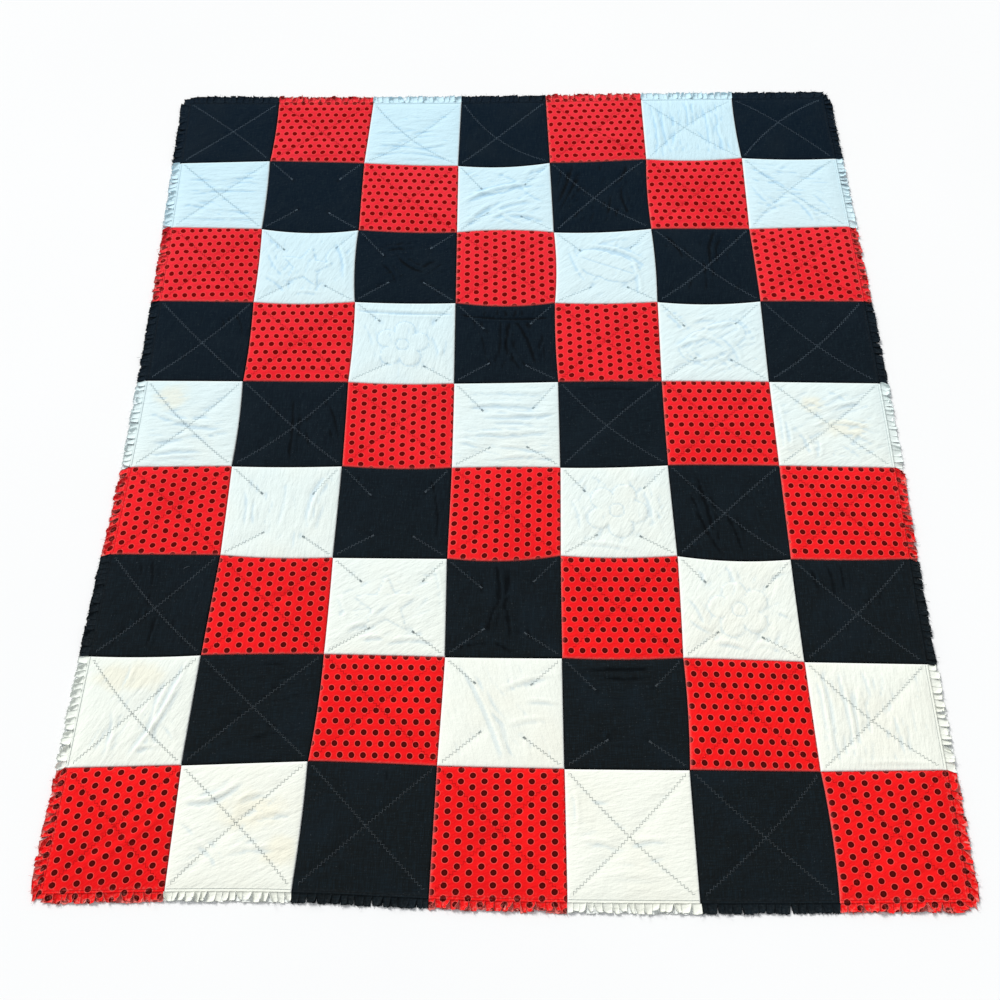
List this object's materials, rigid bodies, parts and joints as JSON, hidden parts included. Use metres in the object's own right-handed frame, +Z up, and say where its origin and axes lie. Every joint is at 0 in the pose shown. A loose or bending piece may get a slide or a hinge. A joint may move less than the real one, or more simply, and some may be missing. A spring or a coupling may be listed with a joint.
{
  "type": "patchwork throw",
  "caption": "Flat rag-quilt throw of cotton patches in black, dotted red and white, stitched with crosses, with a snipped and frayed border.",
  "frame": {"origin": "middle of the throw's outline, border included, on the surface that it rests on", "axes": "+Z up out of the patched face, +Y towards the head edge, along the throw's longer side, +X to the right as seen from the foot edge"},
  "size_m": [1.287, 1.5506, 0.0072],
  "materials": {
    "dotted_red_cotton": "matt woven cotton, red with small black dots",
    "black_cotton": "matt woven cotton, plain black",
    "white_cotton": "matt woven cotton, plain off-white"
  },
  "bodies": {
    "root": {"quilt": "dotted_red_cotton", "fringe_head": "black_cotton", "fringe_foot": "white_cotton", "fringe_left": "white_cotton", "fringe_right": "black_cotton"}
  },
  "joints": []
}
